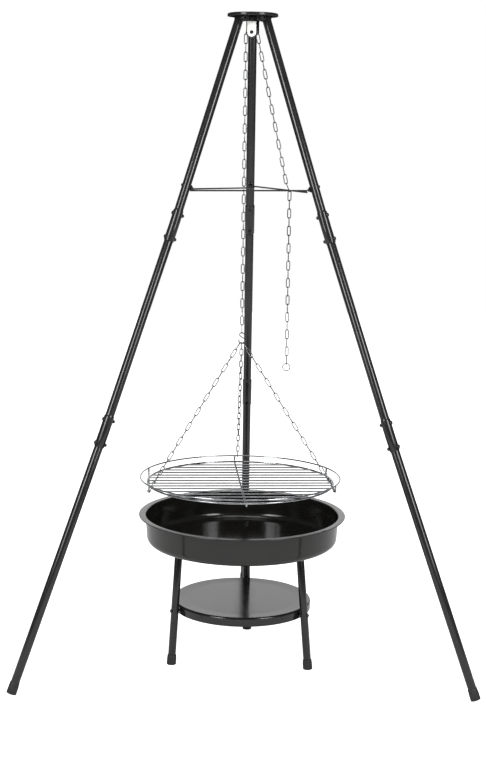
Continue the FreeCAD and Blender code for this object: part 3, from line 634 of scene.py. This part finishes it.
# ------------------------------------------------------------------ pulley
# A folded strip of bright zinc-plated sheet carries a small grooved zinc wheel on a
# riveted pin. One cross bolt hangs it in the black channel, in front of its back plate.

# Zinc plate with a clear finish: almost white where it faces the room.
bright_zinc = plated("bright_zinc_plate", ("#e4e4df", "#f2f1ec"), (0.45, 0.6), 0.5, 14.0,
                     metal=0.2)
# The wheel is the same plate without the finish, worn grey by the chain.
worn_zinc = plated("worn_zinc_plate", ("#6a6c6e", "#85878a"), (0.3, 0.42), 0.5, 10.0)
keep_cad(bright_zinc, "pulley_bracket")
keep_cad(worn_zinc, "pulley_sheave")
keep_cad(black_zinc, "pulley_axle")


# ------------------------------------------------------------------ chain
# Welded link chain of 2.4 mm wire, 22 mm pitch and 10 mm wide, zinc plated. Each link is
# bent, butt welded on one side and left with a slight swelling at the weld.

# Passivated zinc on drawn wire: grey and bright by turns from link to link.
zinc_chain = plated("zinc_plated_chain", ("#66686a", "#8e9092"), (0.2, 0.36), 0.8, 16.0)
PITCH = 22.0 * MM
WIRE_R = 1.2 * MM
PLAY = 0.3 * MM
LINK_BEND = 3.8 * MM
LINK_HALF = PITCH / 2 + PLAY / 2 + WIRE_R - LINK_BEND
WELD_SWELL, WELD_REACH = 1.16, 0.18
OVERHANG = PLAY / 2 + 2 * WIRE_R


def make_link():
    """One link round the origin, long along Z and flat in XZ."""
    across = Vector((0, 1, 0))
    piece = round_section((LINK_BEND, 0, -LINK_HALF), (0, 0, 1), WIRE_R, 8)
    run((0, 0, LINK_HALF * (1 - WELD_REACH)))
    run((0, 0, LINK_HALF * WELD_REACH))
    swell((LINK_BEND, 0, 0), WELD_SWELL)
    run((0, 0, LINK_HALF * WELD_REACH))
    swell((LINK_BEND, 0, LINK_HALF * WELD_REACH), 1 / WELD_SWELL)
    run((0, 0, LINK_HALF * (1 - WELD_REACH)))
    bend((0, 0, LINK_HALF), across, -180, 5)
    run((0, 0, -2 * LINK_HALF))
    bend((0, 0, -LINK_HALF), across, -180, 5)
    bpy.ops.mesh.delete(type="ONLY_FACE")
    pick(piece, "faces", lambda f: len(f.verts) > 4)
    bpy.ops.mesh.delete(type="ONLY_FACE")
    bpy.ops.mesh.select_all(action="SELECT")
    bpy.ops.mesh.remove_doubles(threshold=0.05 * MM)
    bpy.ops.mesh.normals_make_consistent(inside=False)
    bpy.ops.object.mode_set(mode="OBJECT")
    piece.name = "link_pattern"
    return piece


link_pattern = make_link()


def link_between(top, bottom, flat):
    """A copy of the link from one joint to the next, its width along flat."""
    ez = (top - bottom).normalized()
    ex = (flat - ez * flat.dot(ez)).normalized()
    ey = ez.cross(ex)
    copy = link_pattern.copy()
    copy.data = link_pattern.data.copy()
    bpy.context.scene.collection.objects.link(copy)
    copy.matrix_world = Matrix(((ex.x, ey.x, ez.x, (top.x + bottom.x) / 2),
                                (ex.y, ey.y, ez.y, (top.y + bottom.y) / 2),
                                (ex.z, ey.z, ez.z, (top.z + bottom.z) / 2),
                                (0, 0, 0, 1)))
    copy.data.transform(copy.matrix_world)
    copy.matrix_world = Matrix.Identity(4)
    return copy


def chain(top, bottom, count, flat, twist=0.0):
    """count links in a row, each a quarter turn on from the last."""
    step = (bottom - top) / count
    turn = math.radians(90.0 + twist / max(count - 1, 1))
    return [link_between(top + step * k, top + step * (k + 1),
                         Quaternion(step.normalized(), turn * k) @ flat)
            for k in range(count)]


def chain_piece(name, body, links, *nodes):
    return settle(join(links), name, body, "zinc_chain", zinc_chain, *nodes, angle=60)


X, Y, Z = Vector((1, 0, 0)), Vector((0, 1, 0)), Vector((0, 0, 1))
RUN_HEAD = middle("chain_head_link") + Z * (PITCH / 2)
FREE_SIDE = 14.5 * MM
FREE_SPOT = Vector((middle("pulley_axle").x + FREE_SIDE, AXIS.y, RUN_HEAD.z))
OVER_Z = 1623.7 * MM
UPPER_LINKS, MAIN_LINKS = 27, 34


def main_joint(index):
    return RUN_HEAD - Z * (PITCH * index)


chain_piece("chain_head", "chain_head", chain(main_joint(0), main_joint(1), 1, X),
            "chain_head_link")
upper_run = chain_piece("chain_main_upper_run", "chain_upper",
                        chain(main_joint(1), main_joint(UPPER_LINKS), UPPER_LINKS - 1, Y),
                        "chain_main_upper")
LIFT = next(j for j in frame["joints"] if j["name"] == "grate_lift")
LIFT_TRAVEL = max(abs(v) for v in LIFT["range_m"])
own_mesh(upper_run)
lower_run = chain_piece("chain_main_lower_run", "chain_lower",
                        chain(main_joint(UPPER_LINKS), main_joint(MAIN_LINKS),
                              MAIN_LINKS - UPPER_LINKS, Y), "chain_main_lower")
lower_run.parent = None
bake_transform(lower_run)

inset = ((FREE_SPOT.x - RUN_HEAD.x) - PITCH) / 2
over_left = Vector((RUN_HEAD.x + inset, AXIS.y, OVER_Z))
over_right = Vector((FREE_SPOT.x - inset, AXIS.y, OVER_Z))
chain_piece("chain_over_wheel", "frame",
            [link_between(over_left, RUN_HEAD, Y), link_between(over_left, over_right, Z),
             link_between(over_right, FREE_SPOT, Y)], "chain_over_pulley")

TAIL_LINKS, SLANT_LINKS = 20, 17
DRAPE_ASIDE, DRAPE_Z = 8.8 * MM, 1236.0 * MM
tail_top = middle("chain_tail")
tail_top.y = AXIS.y
tail_top.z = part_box("chain_tail")[1].z - OVERHANG
tail_end = tail_top - Z * (PITCH * TAIL_LINKS)
DRAPE = Vector((tail_top.x - DRAPE_ASIDE, AXIS.y, DRAPE_Z))
slant = chain(FREE_SPOT, DRAPE, SLANT_LINKS, X) + [link_between(DRAPE, tail_top, Y)]
chain_piece("chain_slanting_run", "frame", slant, "chain_slant")
chain_piece("chain_tail_run", "tail", chain(tail_top, tail_end, TAIL_LINKS, X), "chain_tail")
spare_links = round(LIFT_TRAVEL / PITCH)
chain_piece("chain_tail_feed", "frame",
            chain(tail_top, tail_top - Z * (PITCH * spare_links), spare_links, X))

ring_middle = middle("chain_end_ring")
RING_R = (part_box("chain_end_ring")[1].x - ring_middle.x) - WIRE_R
end_ring = round_section(ring_middle + X * RING_R, Z, WIRE_R, 12)
bend(ring_middle, Y, -357, 36)
bpy.ops.object.mode_set(mode="OBJECT")
settle(end_ring, "chain_end_ring_wire", "tail", "zinc_chain", zinc_chain, "chain_end_ring",
       angle=60)


# ------------------------------------------------------------------ hooks and hangers
# An S hook of 3 mm wire ends the lifting chain. Three lighter runs of the same chain hang
# in it and end in small hooks on the grate, two on the outer rods and one at the back.

def s_hook(upper, lower, ex, upper_r, lower_r, wire, upper_open, lower_open, name, slot, finish,
           *nodes):
    """Wire bent round an upper eye and a lower hook, in the plane of ex and its length."""
    ez = (upper - lower).normalized()
    ex = (ex - ez * ex.dot(ez)).normalized()
    axis = ex.cross(ez)
    lean = math.degrees(math.acos((upper_r + lower_r) / (upper - lower).length))
    leave = 270.0 - lean

    def on(centre, radius, degrees):
        t = math.radians(degrees)
        return centre + ex * (radius * math.cos(t)) + ez * (radius * math.sin(t))

    t = math.radians(upper_open)
    piece = round_section(on(upper, upper_r, upper_open),
                          ez * math.cos(t) - ex * math.sin(t), wire, 12)
    bend(upper, axis, leave - upper_open, 18)
    run(on(lower, lower_r, leave - 180.0) - on(upper, upper_r, leave))
    bend(lower, axis, lower_open - (leave - 180.0), 20)
    round_off(piece, 0.3 * wire, 2, 60)
    return settle(piece, name, "grate", slot, finish, *nodes, angle=60)


HOOK_WIRE = 1.5 * MM
SEAT_R = 7.6 * MM
HOOK_EYE_R = 5.4 * MM
seat = Vector((RUN_HEAD.x, AXIS.y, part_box("main_hook")[0].z + HOOK_WIRE + SEAT_R))
hook_eye = main_joint(MAIN_LINKS) + Z * (PLAY / 2 + HOOK_WIRE - HOOK_EYE_R)
s_hook(hook_eye, seat, X, HOOK_EYE_R, SEAT_R, HOOK_WIRE, 0.0, -205.0, "lifting_hook",
       "zinc_chain", zinc_chain, "main_hook")

GRATE = middle("grate_rim")
GRATE_TURN = math.radians(3.7)
RIM_WIRE, RAIL_WIRE, CROSS_WIRE, BAR_WIRE = 2.5 * MM, 2.0 * MM, 2.25 * MM, 2.0 * MM
RIM_R = (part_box("grate_rim")[1].x - GRATE.x) - RIM_WIRE
RAIL_Z = middle("grate_railing").z
RAIL_R = (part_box("grate_railing")[1].x - GRATE.x) - RAIL_WIRE
CROSS_SIDE = 237.0 * MM
CROSS_Z = GRATE.z - RIM_WIRE - CROSS_WIRE
SIDE_HOOK_V = -83.0 * MM
REAR_HOOK_U = 8.0 * MM
SIDE_SLIDE = 38.0
SMALL_EYE_R, HOOK_PLAY, SHANK_LEAST = 3.6 * MM, 0.5 * MM, 6.0 * MM


def on_grate(u, v, z):
    """A point from the grate's own plan: u to its right, v to its back."""
    return Vector((GRATE.x + u * math.cos(GRATE_TURN) - v * math.sin(GRATE_TURN),
                   GRATE.y + u * math.sin(GRATE_TURN) + v * math.cos(GRATE_TURN), z))


def hanger(name, slide, anchor, held):
    """A chain from the lifting hook to a wire of the grate, and the small hook on it."""
    t = math.radians(slide)
    along = Vector((math.cos(t), 0, math.sin(t)))
    on_wire = seat + Vector((math.sin(t), 0, -math.cos(t))) * SEAT_R
    pull = anchor - on_wire
    pull = (pull - along * pull.dot(along)).normalized()
    top = on_wire - pull * (HOOK_WIRE + PLAY / 2)
    down = (anchor - top).normalized()
    grip_r = held + WIRE_R + HOOK_PLAY
    count = int(((anchor - top).length - SMALL_EYE_R - grip_r - SHANK_LEAST) / PITCH)
    end = top + down * (PITCH * count)
    flat = along.cross(down).normalized()
    chain_piece("hanger_run_" + name, "grate",
                chain(top, end, count, flat, 90.0 if name == "rear" else 0.0),
                "hanger_chain_" + name)
    outward = (anchor - on_grate(0, 0, anchor.z)).normalized()
    s_hook(end + down * (SMALL_EYE_R - WIRE_R - PLAY / 2), anchor, -outward, SMALL_EYE_R,
           grip_r, WIRE_R, -60.0, -215.0, "grate_hook_" + name, "zinc_chain", zinc_chain,
           "hanger_hook_" + name)


hanger("left", -SIDE_SLIDE, on_grate(-CROSS_SIDE, SIDE_HOOK_V, CROSS_Z), CROSS_WIRE)
hanger("right", SIDE_SLIDE, on_grate(CROSS_SIDE, SIDE_HOOK_V, CROSS_Z), CROSS_WIRE)
hanger("rear", 0.0, on_grate(REAR_HOOK_U, math.sqrt(RAIL_R ** 2 - REAR_HOOK_U ** 2), RAIL_Z),
       RAIL_WIRE)


# ------------------------------------------------------------------ grate
# Round cooking grate of chrome-plated wire: a 5 mm rim, fourteen 4 mm bars resistance
# welded into it, and three rods under them whose ends turn up to a railing.

# Chrome over nickel on drawn wire: a hard dark-and-light shine with faint drawing marks.
chrome_wire = plated("chrome_plated_wire", ("#8f9193", "#b9bbbd"), (0.1, 0.24), 0.9, 30.0)


def wire_ring(name, centre, radius, wire, node):
    piece = round_section(centre + X * radius, Y, wire, 12)
    bend(centre, Z, 359.6, 128)
    bpy.ops.object.mode_set(mode="OBJECT")
    return settle(piece, name, "grate", "chrome_wire", chrome_wire, node, angle=60)


wire_ring("grate_rim_wire", GRATE, RIM_R, RIM_WIRE, "grate_rim")
wire_ring("grate_railing_wire", Vector((GRATE.x, GRATE.y, RAIL_Z)), RAIL_R, RAIL_WIRE,
          "grate_railing")

BAR_COUNT = 14
BAR_PITCH = 31.0 * MM
BAR_Z = GRATE.z - RIM_WIRE + BAR_WIRE
ROD_BOW = 7.0 * MM
across_bar = on_grate(1, 0, 0) - on_grate(0, 0, 0)
back_way = on_grate(0, 1, 0) - on_grate(0, 0, 0)
bars = []
for k in range(BAR_COUNT):
    v = (k - (BAR_COUNT - 1) / 2) * BAR_PITCH
    reach = math.sqrt(RIM_R ** 2 - v ** 2) - RIM_WIRE * 0.7
    bar = round_section(on_grate(-reach, v, BAR_Z), across_bar, BAR_WIRE, 12)
    run(across_bar * 2 * reach)
    bpy.ops.object.mode_set(mode="OBJECT")
    bars.append(bar)
    for end in (-1, 1):
        bars.append(weld_bead(on_grate(end * (reach - 0.4 * MM), v, BAR_Z), across_bar,
                              2.35 * MM, 4.0 * MM))
settle(join(bars), "grate_bar_set", "grate", "chrome_wire", chrome_wire, "grate_bars",
       angle=60)


def cross_rod(u):
    """A rod under the bars; each end turns up and is welded under the railing."""
    reach = math.sqrt(RAIL_R ** 2 - u ** 2)
    high = RAIL_Z - RAIL_WIRE * 0.6
    piece = round_section(on_grate(u, -reach, high), -Z, CROSS_WIRE, 12)
    run(-Z * (high - CROSS_Z - ROD_BOW))
    hinge = (-Z).cross(back_way)
    bend(on_grate(u, -reach + ROD_BOW, CROSS_Z + ROD_BOW), hinge, 90, 6)
    run(back_way * 2 * (reach - ROD_BOW))
    bend(on_grate(u, reach - ROD_BOW, CROSS_Z + ROD_BOW), hinge, 90, 6)
    run(Z * (high - CROSS_Z - ROD_BOW))
    round_off(piece, 0.4 * MM, 2)
    return piece


cross_rods = [cross_rod(u) for u in (-CROSS_SIDE, 0.0, CROSS_SIDE)]
settle(join(cross_rods), "grate_cross_rods", "grate", "chrome_wire", chrome_wire,
       "grate_crossbars", angle=60)


# ------------------------------------------------------------------ fire bowl
# Deep-drawn steel pan, 2.4 mm thick, with a flat flange and a rounded heel, stoved in
# gloss black. Three bolts through its floor hold it on its own legs.

def gloss_enamel(name, colour, rough, wave_mm, wave_height):
    """Stoved enamel on pressed steel: a near mirror over long soft waves in the sheet."""
    made = bpy.data.materials.new(name)
    made.use_nodes = True
    tree = made.node_tree
    shader = tree.nodes["Principled BSDF"]
    place = add_node(tree, "ShaderNodeTexCoord")
    cloud = add_node(tree, "ShaderNodeTexNoise", {"Scale": 1 / 0.08, "Detail": 2.0},
                     {"Vector": place.outputs["Object"]})
    tone = add_node(tree, "ShaderNodeValToRGB", links={"Fac": cloud.outputs["Fac"]})
    tone.color_ramp.elements[0].position = 0.35
    tone.color_ramp.elements[0].color = paint(colour[0])
    tone.color_ramp.elements[1].position = 0.7
    tone.color_ramp.elements[1].color = paint(colour[1])
    tree.links.new(tone.outputs["Color"], shader.inputs["Base Color"])
    fine = add_node(tree, "ShaderNodeTexNoise", {"Scale": 1 / 0.006, "Detail": 3.0},
                    {"Vector": place.outputs["Object"]})
    shine = add_node(tree, "ShaderNodeMapRange",
                     {"From Min": 0.3, "From Max": 0.7, "To Min": rough[0], "To Max": rough[1]},
                     {"Value": fine.outputs["Fac"]})
    tree.links.new(shine.outputs["Result"], shader.inputs["Roughness"])
    wave = add_node(tree, "ShaderNodeTexNoise", {"Scale": 1 / (wave_mm * MM), "Detail": 0.5},
                    {"Vector": place.outputs["Object"]})
    relief = add_node(tree, "ShaderNodeBump", {"Strength": 1.0, "Distance": wave_height * MM},
                      {"Height": wave.outputs["Fac"]})
    peel = add_node(tree, "ShaderNodeBump", {"Strength": 1.0, "Distance": 0.006 * MM},
                    {"Height": fine.outputs["Fac"], "Normal": relief.outputs["Normal"]})
    tree.links.new(peel.outputs["Normal"], shader.inputs["Normal"])
    return made


# Stoved gloss black enamel: lamps and walls show in it, softened by the drawn sheet.
bowl_enamel = gloss_enamel("stoved_gloss_black", ("#121211", "#181715"), (0.1, 0.16),
                           60, 0.12)
BOWL = middle("fire_bowl")
BOWL_LOW, BOWL_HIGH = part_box("fire_bowl")
BOWL_T = 2.4 * MM
FLANGE_R = (BOWL_HIGH.x - BOWL_LOW.x) / 2
MOUTH_R, KNEE_R, PAN_R = 252.0 * MM, 248.0 * MM, 230.0 * MM
BOWL_TOP, BOWL_BOTTOM = BOWL_HIGH.z, BOWL_LOW.z
KNEE_Z = 322.0 * MM
MOUTH_ROUND = 4.0 * MM
BOWL_INNER = BOWL_BOTTOM + BOWL_T


def turned_shell(name, centre, profile, steps):
    """A shell spun from a profile of (radius, height) points; its poles are merged."""
    unselect()
    bpy.ops.mesh.primitive_circle_add(vertices=3, radius=0.01, fill_type="NOTHING",
                                      location=(0, 0, 0))
    piece = bpy.context.object
    edit(piece)
    pick(piece, "verts", lambda v: v.index > 0)
    bpy.ops.mesh.delete(type="VERT")
    bpy.ops.mesh.select_all(action="SELECT")
    spot = Vector((centre.x + profile[0][0], centre.y, profile[0][1]))
    mesh = bmesh.from_edit_mesh(piece.data)
    mesh.verts.ensure_lookup_table()
    mesh.verts[0].co = spot
    bmesh.update_edit_mesh(piece.data)
    for (r0, z0), (r1, z1) in zip(profile, profile[1:]):
        bpy.ops.mesh.extrude_vertices_move(
            TRANSFORM_OT_translate={"value": (r1 - r0, 0, z1 - z0)})
    bpy.ops.mesh.select_all(action="SELECT")
    bpy.ops.mesh.spin(steps=steps, angle=math.tau, center=(centre.x, centre.y, 0),
                      axis=(0, 0, 1))
    bpy.ops.mesh.select_all(action="SELECT")
    bpy.ops.mesh.remove_doubles(threshold=0.02 * MM)
    bpy.ops.mesh.normals_make_consistent(inside=False)
    bpy.ops.object.mode_set(mode="OBJECT")
    piece.name = name
    return piece


def corner(centre_r, centre_z, radius_r, radius_z, first, last, steps):
    """Points of a rounded corner in a profile, between two angles in degrees."""
    return [(centre_r + radius_r * math.cos(math.radians(first + (last - first) * k / steps)),
             centre_z + radius_z * math.sin(math.radians(first + (last - first) * k / steps)))
            for k in range(steps + 1)]


lip = BOWL_T / 2
heel = KNEE_Z - BOWL_BOTTOM
floor_stops = (0.0, PAN_R * 0.5, PAN_R - 30 * MM)
mouth_centre = (MOUTH_R + MOUTH_ROUND - BOWL_T, BOWL_TOP - MOUTH_ROUND)
profile = [(r, BOWL_BOTTOM) for r in floor_stops]
profile += corner(PAN_R, KNEE_Z, KNEE_R - PAN_R, heel, -90, 0, 10)
profile += corner(*mouth_centre, MOUTH_ROUND - BOWL_T, MOUTH_ROUND - BOWL_T, 180, 90, 4)
profile += corner(FLANGE_R - lip, BOWL_TOP - lip, lip, lip, -90, 90, 6)
profile += corner(*mouth_centre, MOUTH_ROUND, MOUTH_ROUND, 90, 180, 6)
profile += corner(PAN_R, KNEE_Z, KNEE_R - PAN_R - BOWL_T, heel - BOWL_T, 0, -90, 10)
profile += [(r, BOWL_INNER) for r in reversed(floor_stops)]
bowl = turned_shell("fire_bowl_pan", BOWL, profile, 160)
settle(bowl, "fire_bowl_pan", "brazier", "black_enamel", bowl_enamel, "fire_bowl", angle=40)


# ------------------------------------------------------------------ bowl stand
# Three 20 mm tubes splay from under the bowl to the floor, and the whole stand leans a
# little off the bowl's axis. Each tube stands in a rubber cap and is bolted to the shelf.

STAND_TURN = -3.7
STAND_LEAN = (5.0 * MM, -4.0 * MM)
STAND_TOP_R, STAND_FLOOR_R = 179.0 * MM, 204.0 * MM
STAND_TUBE_R = 10.0 * MM
TUBE_FOOT, TUBE_PAST = 4.0 * MM, 6.0 * MM
CAP_R, CAP_H, CAP_COLLAR, CAP_SOLE = 12.2 * MM, 25.0 * MM, 6.0 * MM, 0.8 * MM


def stand_line(azimuth, z):
    r = STAND_FLOOR_R + (STAND_TOP_R - STAND_FLOOR_R) * z / BOWL_BOTTOM
    turn = math.radians(azimuth + STAND_TURN)
    off = 1 - z / BOWL_BOTTOM
    return Vector((BOWL.x + r * math.cos(turn) + STAND_LEAN[0] * off,
                   BOWL.y + r * math.sin(turn) + STAND_LEAN[1] * off, z))


for side, azimuth in LEG_AZIMUTH.items():
    low = stand_line(azimuth, TUBE_FOOT)
    high = stand_line(azimuth, BOWL_BOTTOM + TUBE_PAST)
    up = (high - low).normalized()
    leg = round_section(low, up, STAND_TUBE_R, 36)
    run(high - low)
    bpy.ops.mesh.select_all(action="SELECT")
    bpy.ops.mesh.bisect(plane_co=(0, 0, BOWL_BOTTOM), plane_no=(0, 0, 1), clear_outer=True,
                        use_fill=True)
    round_off(leg, 0.3 * MM, 2)
    settle(leg, "stand_tube_" + side, "brazier", "black_tube", black_powder_coat,
           "stand_leg_" + side)
    cap = rubber_tip("stand_foot_" + side, stand_line(azimuth, -CAP_SOLE), up, CAP_R,
                     CAP_H + CAP_SOLE, STAND_TUBE_R + TIP_PLAY, CAP_COLLAR)
    settle(cap, "stand_foot_" + side, "brazier", "black_rubber", black_rubber,
           "stand_cap_" + side)


# ------------------------------------------------------------------ shelf
# A round tray pressed from 1.6 mm steel, turned over so that its flat is the shelf, with
# a border that rises a little to a rolled edge, and a skirt. Coated semi-gloss black.

# Semi-gloss black coat: a softer mirror than the bowl's, on a flatter sheet.
shelf_coat = gloss_enamel("semi_gloss_black_coat", ("#141415", "#1a1a1b"), (0.13, 0.19),
                          90, 0.06)
SHELF_LOW, SHELF_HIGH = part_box("shelf")
SHELF = middle("shelf")
SHELF_R = (SHELF_HIGH.x - SHELF_LOW.x) / 2
SHELF_TOP, SHELF_BOTTOM = SHELF_HIGH.z, SHELF_LOW.z
SHEET = 1.6 * MM
FLAT_R, DISH, ROLL = 141.0 * MM, 1.8 * MM, 5.0 * MM
flat = SHELF_TOP - DISH
edge = SHELF_R - ROLL
hem = SHEET / 2
profile = [(r, flat) for r in (0.0, SHELF_R * 0.5, FLAT_R - 1 * MM, FLAT_R + 1 * MM)]
profile += [(edge - 3 * MM, SHELF_TOP - 0.15 * MM)]
profile += corner(edge, SHELF_TOP - ROLL, ROLL, ROLL, 90, 0, 10)
profile += corner(SHELF_R - hem, SHELF_BOTTOM + hem, hem, hem, 0, -180, 6)
profile += corner(edge, SHELF_TOP - ROLL, ROLL - SHEET, ROLL - SHEET, 0, 90, 6)
profile += [(r, flat - SHEET) for r in (FLAT_R, SHELF_R * 0.5, 0.0)]
shelf = turned_shell("shelf_tray", SHELF, profile, 128)
settle(shelf, "shelf_tray", "brazier", "black_enamel", shelf_coat, "shelf", angle=40)

bpy.data.objects.remove(link_pattern)
